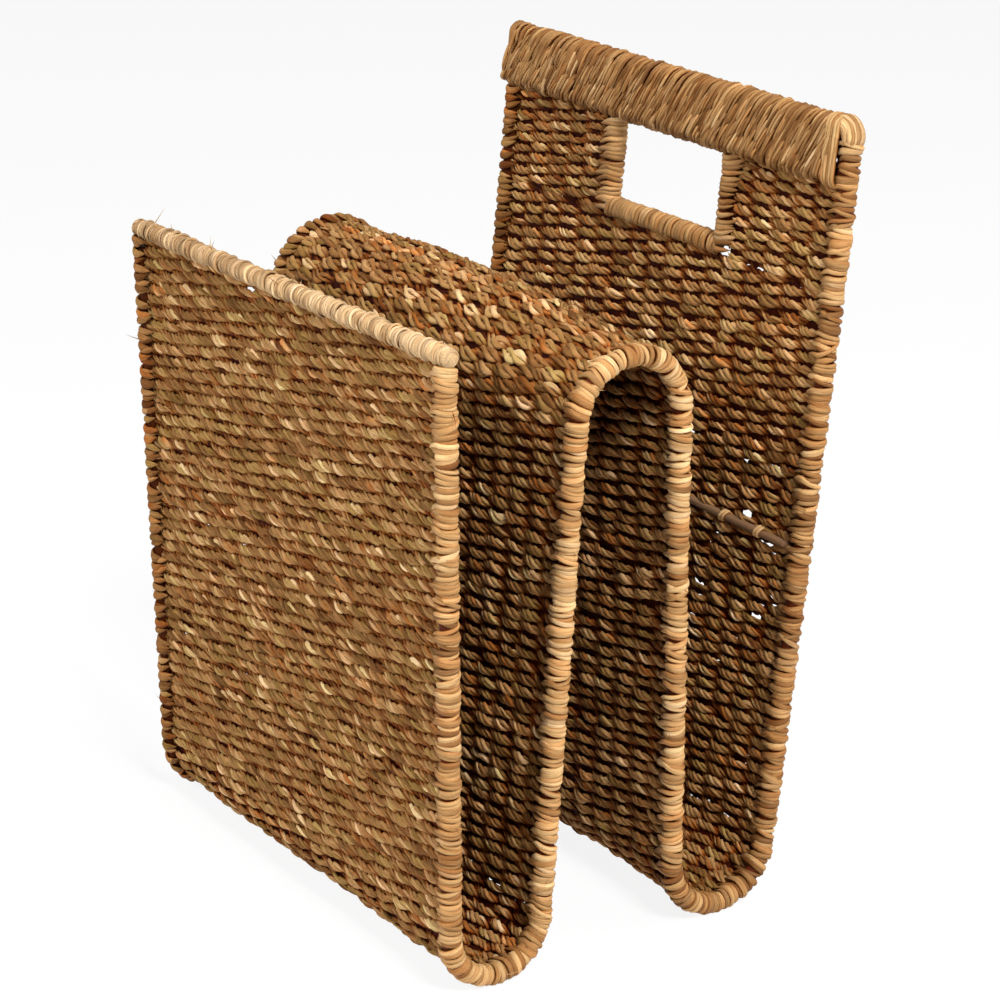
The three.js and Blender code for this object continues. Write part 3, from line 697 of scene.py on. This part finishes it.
# a strand that comes out of the weave, turns round a side rod and goes back in
def hairpin(bundle, rodX, side, s0, radius, wide, thick, arms, slope, tone, hue, sink):
    arc = math.pi * radius
    total = arms[0] + arc + arms[1]
    count = max(12, int(total / 1.55))
    d = np.linspace(-arms[0] - arc / 2, arms[1] + arc / 2, count)
    overA, overB = np.clip(-d - arc / 2, 0, None), np.clip(d - arc / 2, 0, None)
    angle = np.clip(-d / radius, -math.pi / 2, math.pi / 2)
    run = (overA / arms[0] ** 0.3) ** (1 / 0.7) - (overB / arms[1] ** 0.3) ** (1 / 0.7)
    veer = rand.normal(0.05, 0.18)
    s = s0 + side * (slope * run - veer * np.clip(d, -arc / 2, arc / 2)) + drift(count, 6, 0.25)
    s = np.maximum(s, rail["start"])
    x = rodX(s) + side * (radius * np.cos(angle) - overA - overB)
    dive = np.clip(overA / arms[0], 0, 1) ** 1.5 + np.clip(overB / arms[1], 0, 1) ** 1.5
    out = radius * np.sin(angle) * (1 - sink * dive)
    normal, along = sheetAxes(s)
    outward = normal * np.sin(angle)[:, None] + side * crossways * np.cos(angle)[:, None]
    lean = 1 - 0.3 * dive
    # the strand is painted darker where it dives back into the weave: painted shade
    bundle.add(
        onSheet(x, s, out), outward, along, wide * lean * (1 + drift(count, 6, 0.1)), thick,
        tone + drift(count, 12, 0.05) - 0.22 * dive, hue + drift(count, 12, 0.1), taper=3)


def core(bundle, middle, outward, sideways, wide, thick):  # a core tube inside a winding, painted dark: painted shade
    shadeDepth = np.full((len(middle), bundle.sides), 0.1)
    bundle.add(middle, outward, sideways, wide, thick, 0.3, 0.6, shadeDepth)


def places(start, stop, mean, spread):
    found, at = [], start
    while at < stop:
        found.append(at)
        at += mean * float(np.clip(1 + rand.normal(0, spread), 0.6, 1.6))
    return found


rail = {
    "start": 5.6, "firstTurn": 6.4, "endShort": 7.0, "core": 4.3, "radius": 4.5, "thick": 1.25,
    "pitch": 2.6, "spread": 0.2, "wide": (1.25, 2.15), "extra": (-0.3, 0.9), "slope": (-0.5, 0.0),
    "arms": (5, 11), "sink": 0.45, "hue": 0.62,
    # the hump's rail is painted paler than the others: painted light where the front panel shades
    # it
    "tones": {"front": 0.35, "hump": 0.45, "back": 0.26},
    "strayEvery": 140, "strayLong": (4, 9),
}
# on the left the ends of each row show as pairs: step along the rail, width, extra radius
leftRail = {
    "pitch": 7.1, "spread": 0.04, "pair": ((-1.6, 2.3, 0.9), (1.9, 2.0, 0.2)), "tone": 0.42,
    "strayEvery": 70,
}
railRuns = [
    ("front", rail["firstTurn"], runEnds["frontBend"][1], ("front", "front_bend")),
    ("hump", runEnds["rise"][0], runEnds["fall"][1], ("hump_front", "hump_crest", "hump_back")),
    ("back", runEnds["backBend"][0], panelTop - rail["endShort"], ("back_bend", "back")),
]


def railX(side):
    return lambda s: side * (halfAt(s) - wave["rail"])


for label, side in (("left", -1), ("right", 1)):
    for part, fromS, toS, stretches in railRuns:
        bundle = Bundle(8)
        s = np.arange(fromS, toS, 4.0)
        normal, along = sheetAxes(s)
        middle = onSheet(railX(side)(s), s, 0 * s)
        core(bundle, middle, normal, side * crossways, rail["core"], rail["core"])
        # the left rails take the weave's finish and the right ones the pale binding: the right's
        # paleness is partly the strands' own colour, partly painted light from the right
        if side < 0:
            railTone, finish, slot = leftRail["tone"], weaveFinish, "seagrass_weave"
            spots = [(r + step + rand.normal(0, 0.25), wide, extra)
                     for r in places(fromS + 1, toS - 1, leftRail["pitch"], leftRail["spread"])
                     for step, wide, extra in leftRail["pair"]]
        else:
            railTone, finish, slot = rail["tones"][part], bindingFinish, "pale_binding"
            spots = [(r, rand.uniform(*rail["wide"]), rand.uniform(*rail["extra"]))
                     for r in places(fromS, toS, rail["pitch"], rail["spread"])]
        for s0, wide, extra in spots:
            hairpin(
                bundle, railX(side), side, s0, rail["radius"] + extra, wide, rail["thick"],
                (rand.uniform(*rail["arms"]), rand.uniform(*rail["arms"])),
                rand.uniform(*rail["slope"]), railTone + rand.normal(0, 0.14),
                rail["hue"] + rand.normal(0, 0.22), rail["sink"])
        for s0 in places(fromS + 20, toS, (leftRail if side < 0 else rail)["strayEvery"], 0.4):
            normal, along = sheetAxes(s0)
            way = side * crossways + normal * rand.normal(0, 0.6) + along * rand.normal(0, 0.7)
            start = onSheet(railX(side)(s0), s0, 0) + side * crossways * 5
            stray(bundle, start, way, rand.uniform(*rail["strayLong"]))
        nodes = [f"{label}_{stretch}_binding" for stretch in stretches]
        bundle.make(f"binding_{label}_{part}", finish, slot, *nodes)
print("rails bound")


# a winding is one strand laid round and round a core
def stadium(share, reach, radius):  # places on a loop of two half rounds that stand apart
    arc = math.pi * radius
    whole = 2 * (arc + reach)
    d = (share % 1) * whole
    first = d < arc
    straight = (d >= arc) & (d < arc + reach)
    second = (d >= arc + reach) & (d < 2 * arc + reach)
    last = d >= 2 * arc + reach
    safe = np.maximum(radius, 1e-6)
    angle = np.where(first, d / safe - math.pi / 2, (d - arc - reach) / safe + math.pi / 2)
    oa = np.where(first | second, np.cos(angle), 0)
    ob = np.where(first | second, np.sin(angle), np.where(straight, 1, -1))
    a = oa * radius + np.where(second, -reach, 0)
    a = np.where(straight, -(d - arc), a)
    a = np.where(last, -reach + (d - 2 * arc - reach), a)
    return a, ob * radius, oa, ob


def given(value, t):  # a value that may change along a winding
    return value(t) if callable(value) else value


# middle, axisA, axisB and along give the core's line and axes for a share of its length
def coil(bundle, middle, axisA, axisB, along, turns, perTurn, radius, wide, thick,
         reach=0, slant=0, tone=0.5, hue=0.5, start=0.0, loose=0.2, uneven=0.12, toneDrift=0.08):
    count = int(turns * perTurn) + 1
    t = np.linspace(0, 1, count)
    share = start + turns * t
    r = given(radius, t) + 0 * t
    r = r + drift(count, perTurn * 0.4, loose * 0.6) * np.clip(r / 4, 0, 1)
    a, b, oa, ob = stadium(share, reach, r)
    lie = drift(count, perTurn * 0.42, loose)
    up = (a + reach + r) / (reach + 2 * r)
    lie = lie + given(slant, t) * (0.6 * up + 0.4 * up ** 2 - 0.45)  # steeper at the top
    centre = middle(t) + axisA(t) * a[:, None] + axisB(t) * b[:, None] + along(t) * lie[:, None]
    outward = axisA(t) * oa[:, None] + axisB(t) * ob[:, None]
    w = wide * np.clip(1 + drift(count, perTurn * 0.45, uneven), 0.5, 1.7)
    h = thick * (1 + drift(count, perTurn * 0.35, 0.1))
    bundle.add(
        centre, outward, along(t), w, h, given(tone, t) + drift(count, perTurn * 0.6, toneDrift),
        hue + drift(count, perTurn * 1.5, 0.17))


def steady(vector):  # an axis that stays the same all along
    return lambda t: np.broadcast_to(np.asarray(vector, float), (len(t), 3))


def domed(t, half, radius, dome):  # the radius of a winding whose ends close to a point
    over = np.clip(np.abs((t - 0.5) * 2 * half) - half + dome, 0, dome)
    return radius * np.sqrt(np.clip(1 - (over / dome) ** 2, 0.012, 1))


# the front rim
rim = {
    "radius": 4.1, "core": 3.7, "thick": 1.0, "perTurn": 18, "dome": 4.6, "uneven": 0.3,
    "firstTone": 0.33, "toneGain": 0.2, "toneDrift": 0.14, "hue": 0.42,
    # pitch, width, extra radius, looseness and how far short of the end each winding stops
    "windings": ((2.0, 1.1, 0, 0.6, 0.5), (3.1, 0.7, 0.25, 1.3, 4)),
    "strays": 14, "strayLong": (3, 8),
}
rimEnd = {
    "folds": (5, 62, 125), "inset": 3.4, "size": 4.5, "flat": 0.75, "wide": 0.55, "thick": 0.75,
    "tone": 0.4,
}


def foldOver(bundle, middle, axis, first, second, tone):  # strands over the end of a winding
    size = rimEnd["size"]
    for lie in np.radians(rimEnd["folds"]):
        across = first * math.cos(lie) + second * math.sin(lie)
        aside = second * math.cos(lie) - first * math.sin(lie)
        a = np.radians(np.linspace(-98, 98, 18))[:, None]
        centre = middle + (axis * rimEnd["flat"] * np.cos(a) + across * np.sin(a)) * size
        bundle.add(
            centre, axis * np.cos(a) + across * np.sin(a), aside, size * rimEnd["wide"],
            rimEnd["thick"], tone + rand.normal(0, 0.08), 0.4)


rimHalf = float(halfAt(0)) + 0.2
bundle = Bundle(8)
rimOut, rimDown = (v[0] for v in sheetAxes(np.array([0.0])))
x = np.linspace(-rimHalf + 3, rimHalf - 3, 60)
core(bundle, onSheet(x, 0 * x, 0 * x), rimOut, rimDown, rim["core"], rim["core"])
for pitch, wide, lift, loose, short in rim["windings"]:
    coil(
        bundle, lambda t: onSheet((t - 0.5) * 2 * (rimHalf - short), 0 * t, 0 * t), steady(rimOut),
        steady(-rimDown), steady(crossways), 2 * rimHalf / pitch, rim["perTurn"],
        lambda t: domed(t, rimHalf, rim["radius"] + lift, rim["dome"]), wide, rim["thick"],
        tone=lambda t: rim["firstTone"] + rim["toneGain"] * t, hue=rim["hue"], loose=loose,
        uneven=rim["uneven"], toneDrift=rim["toneDrift"])
for side in (-1, 1):
    foldOver(
        bundle, onSheet(side * (rimHalf - rimEnd["inset"]), 0, 0), side * crossways, rimOut,
        rimDown, rimEnd["tone"] + 0.08 * side)
for _ in range(rim["strays"]):
    angle, x = rand.uniform(-0.6, 2.6), rand.uniform(-rimHalf, rimHalf)
    way = rimOut * math.cos(angle) - rimDown * math.sin(angle)
    start = onSheet(x, 0, 0) + way * rim["radius"]
    stray(bundle, start, way + crossways * rand.normal(0, 0.9), rand.uniform(*rim["strayLong"]))
bundle.make("binding_front_rim", rimFinish, "pale_binding", "front_rim_binding")

# the band over the two handle rods
band = {
    "left": -151.5, "right": 140.2, "high": -0.6, "low": -26.6, "out": 1.2, "radius": 5.3,
    "pitch": 2.75, "wide": 1.4, "thick": 1.15, "slant": 19, "perTurn": 28, "cores": 6,
    "coreWide": 4.6, "coreThick": 4.6, "tone": 0.2, "loose": 0.7, "uneven": 0.3, "toneDrift": 0.12,
}
# short strands that slip over and under their neighbours
overlay = {
    "column": 2.2, "long": (12, 20), "overlap": 0.82, "wide": 1.1, "thick": 0.95, "bulge": 0.9,
    "tone": 0.26, "hue": 0.5,
}
# single loops close the band: where they stand from its end, and their radius
bandEnds = {
    "right": [(-6.4, 5.8), (-4.2, 5.8), (-1.9, 5.8), (0.4, 5.8), (2.0, 5.8)],
    "left": [(5.6, 5.5), (3.8, 5.4), (2.4, 4.9), (1.3, 3.9), (0.6, 2.5), (0.3, 1)],
    "wide": 1.4, "thick": 1.2, "turns": 1.1, "perTurn": 40,
    "tones": {"right": 0.4, "left": 0.26}, "loose": {"right": 0.25, "left": 0.3},
}
# on the right, strands arch over the corner into the rail
corner = {
    "x": 141.6, "up": -5.2, "out": 0.6, "along": 5.6, "across": 5.2, "deep": 5.4,
    "every": 14, "wide": 1.35, "thick": 1.1, "tone": 0.44, "hue": 0.4,
}


def onPanel(x, up, out):  # up from the panel's top edge
    return onSheet(x, panelTop + up, out)


panelOut, panelUp = (v[0] for v in sheetAxes(np.array([panelTop - panel["handMiddle"]])))
panelAxes = steady(panelUp), steady(panelOut), steady(crossways)
bandReach = band["high"] - band["low"]


def bandLine(t):
    x = band["left"] + 4 + (band["right"] - band["left"] - 11) * t
    return onPanel(x, band["high"] + 0 * t, band["out"] + 0 * t)


def bandRadius(t):  # small where the winding starts
    return band["radius"] * np.sqrt(np.clip(1 - np.clip(1 - t * 90, 0, 0.9) ** 2, 0.1, 1))


def layOverlay(bundle, facing, column):
    top = band["high"] + 4.5 - rand.uniform(0, 12)
    while top > band["low"] + 2:
        long = min(rand.uniform(*overlay["long"]), top - band["low"] + 4.2)
        t = np.linspace(0, 1, 11)
        up = top - long * t
        fade = min(1, (band["right"] + 1 - column) / 12, (column - band["left"] + 2) / 10)
        slant = band["slant"] / 33 * fade
        x = column + 0.4 * rand.normal() + (slant + rand.normal(0, 0.05)) * (up - band["low"] - 13)
        bulge = band["radius"] + 0.1 + overlay["bulge"] * np.sin(math.pi * t) ** 0.8
        over = np.clip(up - band["high"], 0, 5) ** 2 / 8 + np.clip(band["low"] - up, 0, 5) ** 2 / 8
        slim = np.sin(math.pi * (0.08 + 0.84 * t)) ** 0.6  # at both ends
        wide = overlay["wide"] * rand.uniform(0.75, 1.2) * slim
        bundle.add(
            onPanel(x, up, band["out"] + facing * (bulge - over)), panelOut * facing, crossways,
            wide, overlay["thick"], overlay["tone"] + rand.normal(0, 0.15),
            overlay["hue"] + rand.normal(0, 0.25))
        top -= long * overlay["overlap"]


def closeBand(bundle, end):
    for inward, radius in bandEnds[end]:
        x0 = band[end] + inward
        coil(
            bundle, lambda t: onPanel(x0 + 0 * t, band["high"] + 0 * t, band["out"] + 0 * t),
            *panelAxes, bandEnds["turns"], bandEnds["perTurn"], radius, bandEnds["wide"],
            bandEnds["thick"], reach=bandReach, tone=bandEnds["tones"][end],
            loose=bandEnds["loose"][end], start=rand.uniform(0, 1))


def archCorner(bundle):
    c = corner
    for lie in np.arange(-126, 127, c["every"]):
        lie = math.radians(lie + rand.normal(0, 3))
        angle = np.radians(np.linspace(118 + rand.normal(0, 6), -25 + rand.normal(0, 9), 18))
        away = c["along"] + c["across"] * math.cos(lie)
        x, up = c["x"] + away * np.cos(angle), c["up"] + away * np.sin(angle)
        out = c["out"] + c["deep"] * math.sin(lie) + drift(18, 6, 0.2)
        way = crossways * np.cos(angle)[:, None] + panelUp * np.sin(angle)[:, None]
        bundle.add(
            onPanel(x, up, out), way * math.cos(lie) + panelOut * math.sin(lie),
            panelOut * math.cos(lie) - way * math.sin(lie), c["wide"] * rand.uniform(0.85, 1.2),
            c["thick"], c["tone"] + rand.normal(0, 0.16), c["hue"] + rand.normal(0, 0.2), taper=3)


bundle = Bundle(7)
x = np.linspace(band["left"] + 3, band["right"], 50)
for share in np.linspace(0, 1, band["cores"]):
    middle = onPanel(x, band["high"] - bandReach * share, band["out"])
    core(bundle, middle, panelOut, panelUp, band["coreWide"], band["coreThick"])
coil(
    bundle, bandLine, *panelAxes, (band["right"] - band["left"] - 8) / band["pitch"],
    band["perTurn"], bandRadius, band["wide"], band["thick"], reach=bandReach,
    slant=lambda t: band["slant"] * np.clip(t * 22, 0.12, 1), tone=band["tone"],
    loose=band["loose"], uneven=band["uneven"], toneDrift=band["toneDrift"])
for facing in (1, -1):
    for column in np.arange(band["left"] + 2, band["right"] - 2, overlay["column"]):
        layOverlay(bundle, facing, column)
closeBand(bundle, "right")
up = np.linspace(band["low"] - 4, band["high"] - 4, 12)
core(bundle, onPanel(band["right"] + 2.6 + 0 * up, up, 0 * up), panelOut, crossways, 3.6, 4.3)
closeBand(bundle, "left")
archCorner(bundle)
bundle.make("binding_handle_band", bindingFinish, "pale_binding", "handle_band")

# the hand hole's sill and posts
sill = {
    "radius": 3.8, "coreThick": 3.5, "pitch": 3.0, "wide": 1.7, "thick": 1.25, "perTurn": 18,
    "reach": 2.4, "slant": 4, "tone": 0.32, "loose": 0.5, "uneven": 0.25,
}
sillLow, sillHigh = (panel["holeMiddle"] + side * (panel["holeSide"] - 1) for side in (-1, 1))
sillWide = sillHigh - sillLow
bundle = Bundle(8)
x = np.linspace(sillLow, sillHigh, 20)
middle = onPanel(x, -panel["sillDrop"], 0 * x)
core(bundle, middle, panelOut, panelUp, sill["radius"], sill["coreThick"])
coil(
    bundle, lambda t: onPanel(sillLow + sillWide * t, -panel["sillDrop"] + 0 * t, 0 * t),
    *panelAxes, sillWide / sill["pitch"], sill["perTurn"], sill["radius"],
    sill["wide"], sill["thick"], reach=sill["reach"], slant=sill["slant"], tone=sill["tone"],
    loose=sill["loose"], uneven=sill["uneven"])
bundle.make("binding_sill", bindingFinish, "pale_binding", "sill_binding")

posts = {
    "radius": 3.9, "core": 3.6, "wide": (1.4, 2.1), "thick": 1.3, "extra": (-0.1, 0.5),
    "pitch": 2.8, "spread": 0.12, "arms": (9, 15), "slope": (-0.4, -0.1), "sink": 0.35,
    "tone": 0.38, "hue": 0.5, "shadeGap": 6.2, "shadeGapWide": 4.4,
}
for label, side in (("left", -1), ("right", 1)):
    x0 = panel["holeMiddle"] + side * panel["holeSide"]
    bundle = Bundle(8)
    low, high = -panel["sillDrop"] - 2, -panel["bandDrop"] + 1.5
    up = np.linspace(low, high, 12)
    middle = onPanel(x0 + 0 * up, up, 0 * up)
    core(bundle, middle, panelOut, crossways, posts["core"], posts["core"])
    for up0 in places(low, high, posts["pitch"], posts["spread"]):
        hairpin(
            bundle, lambda s: x0 + 0 * s, -side, panelTop + up0,
            posts["radius"] + rand.uniform(*posts["extra"]), rand.uniform(*posts["wide"]),
            posts["thick"], (rand.uniform(*posts["arms"]), rand.uniform(*posts["arms"])),
            rand.uniform(*posts["slope"]), posts["tone"] + rand.normal(0, 0.1),
            posts["hue"] + rand.normal(0, 0.2), posts["sink"])
    # a sheet of painted shade between the post's winding and the weave beside it
    shadeGap = onPanel(x0 + side * posts["shadeGap"] + 0 * up, up, 0 * up)
    core(bundle, shadeGap, panelOut, crossways, posts["shadeGapWide"], weave["darkSheetThick"])
    bundle.make(f"binding_{label}_post", bindingFinish, "pale_binding", f"{label}_post_binding")

# the bare stick and its two ties
stick = {
    "radius": 2.35, "out": 2.2, "left": -140.5, "right": 140.5, "places": 140,
    "knuckleEvery": 61, "knuckle": 0.1, "ties": (84, 114), "tieStep": 1.2, "tieUp": 0.7,
    "tieWide": 1.25, "tieThick": 0.75, "tieTone": 0.55,
}
bundle = Bundle(12)
x = np.linspace(stick["left"], stick["right"], stick["places"])
up = -panel["stickDrop"] + drift(stick["places"], 40, 0.3)
out = stick["out"] + drift(stick["places"], 30, 0.15)
knuckled = 1 + stick["knuckle"] * np.exp(-((x % stick["knuckleEvery"] - 30) / 2.2) ** 2)
radius = stick["radius"] * knuckled
bundle.add(onPanel(x, up, out), panelOut, panelUp, radius, radius)
bundle.make("bare_stick", caneFinish, "cane_stick", "back_stick")
for number, x0 in enumerate(stick["ties"]):
    bundle = Bundle(8)
    for step in (-stick["tieStep"], stick["tieStep"]):
        beta = np.linspace(-0.35, math.pi + 0.35, 18)
        x = x0 + step + 1.6 * np.cos(beta)
        away = stick["radius"] + stick["tieUp"]
        up, out = away * np.cos(beta) - panel["stickDrop"], stick["out"] + away * np.sin(beta)
        centre = onPanel(x, up, out)
        outward = panelUp * np.cos(beta)[:, None] + panelOut * np.sin(beta)[:, None]
        bundle.add(
            centre, outward, crossways, stick["tieWide"], stick["tieThick"], stick["tieTone"], 0.5)
    name, node = f"stick_tie_strand_{number + 1}", f"stick_tie_{number + 1}"
    bundle.make(name, bindingFinish, "pale_binding", node)
print("strands laid")

# floor, backdrop and light
setting = {"floor": 30, "floorGrey": 0.86, "shadowKept": 0.12, "ambient": 0.2, "aim": (0, 0, 0.2)}
plainWhite = (1, 1, 1, 1)


def seenWhite(f):  # 1 for what the camera, gloss and glass see
    camera, glossy, clear = (
        f.node("ShaderNodeLightPath", {}, {}, f"Is {kind} Ray")
        for kind in ("Camera", "Glossy", "Transmission"))
    return (camera + glossy + clear).held()


half = setting["floor"]
corners = [(-half, -half, 0), (half, -half, 0), (half, half, 0), (-half, half, 0)]
floorMesh = bpy.data.meshes.new("floor")
floorMesh.from_pydata(corners, [], [(0, 1, 2, 3)])
f = Finish(bpy.data.materials.new("studio floor"))
matt = f.node("ShaderNodeBsdfDiffuse", {}, {"Color": (*[setting["floorGrey"]] * 3, 1)})
white = f.node("ShaderNodeEmission", {}, {"Color": plainWhite, "Strength": 1.0})
share = seenWhite(f) * (1 - setting["shadowKept"])
mixed = f.node("ShaderNodeMixShader", {}, {0: share, 1: matt, 2: white})
f.node("ShaderNodeOutputMaterial", {}, {"Surface": mixed})
floorMesh.materials.append(f.owner)
addObject("floor", floorMesh)

f = Finish(bpy.data.worlds.new("studio"))
ambient, backdrop = (
    f.node("ShaderNodeBackground", {}, {"Color": plainWhite, "Strength": strength})
    for strength in (setting["ambient"], 1.0))
mixed = f.node("ShaderNodeMixShader", {}, {0: seenWhite(f), 1: ambient, 2: backdrop})
f.node("ShaderNodeOutputWorld", {}, {"Surface": mixed})
bpy.context.scene.world = f.owner

lamps = {
    "key": {"place": (1.78, -0.3, 2.2), "size": 0.7, "power": 93},
    "fill": {"place": (-0.3, -2.3, 1.8), "size": 1.2, "power": 49},
    "rear": {"place": (0.9, 1.7, 1.6), "size": 1.2, "power": 20},
}
for name, lamp in lamps.items():
    data = bpy.data.lights.new(name, "AREA")
    data.shape, data.size, data.energy = "SQUARE", lamp["size"], lamp["power"]
    light = addObject(name, data)
    light.location = lamp["place"]
    light.rotation_mode = "QUATERNION"
    way = Vector(setting["aim"]) - Vector(lamp["place"])
    light.rotation_quaternion = way.to_track_quat("-Z", "Y")
print("stage lit")
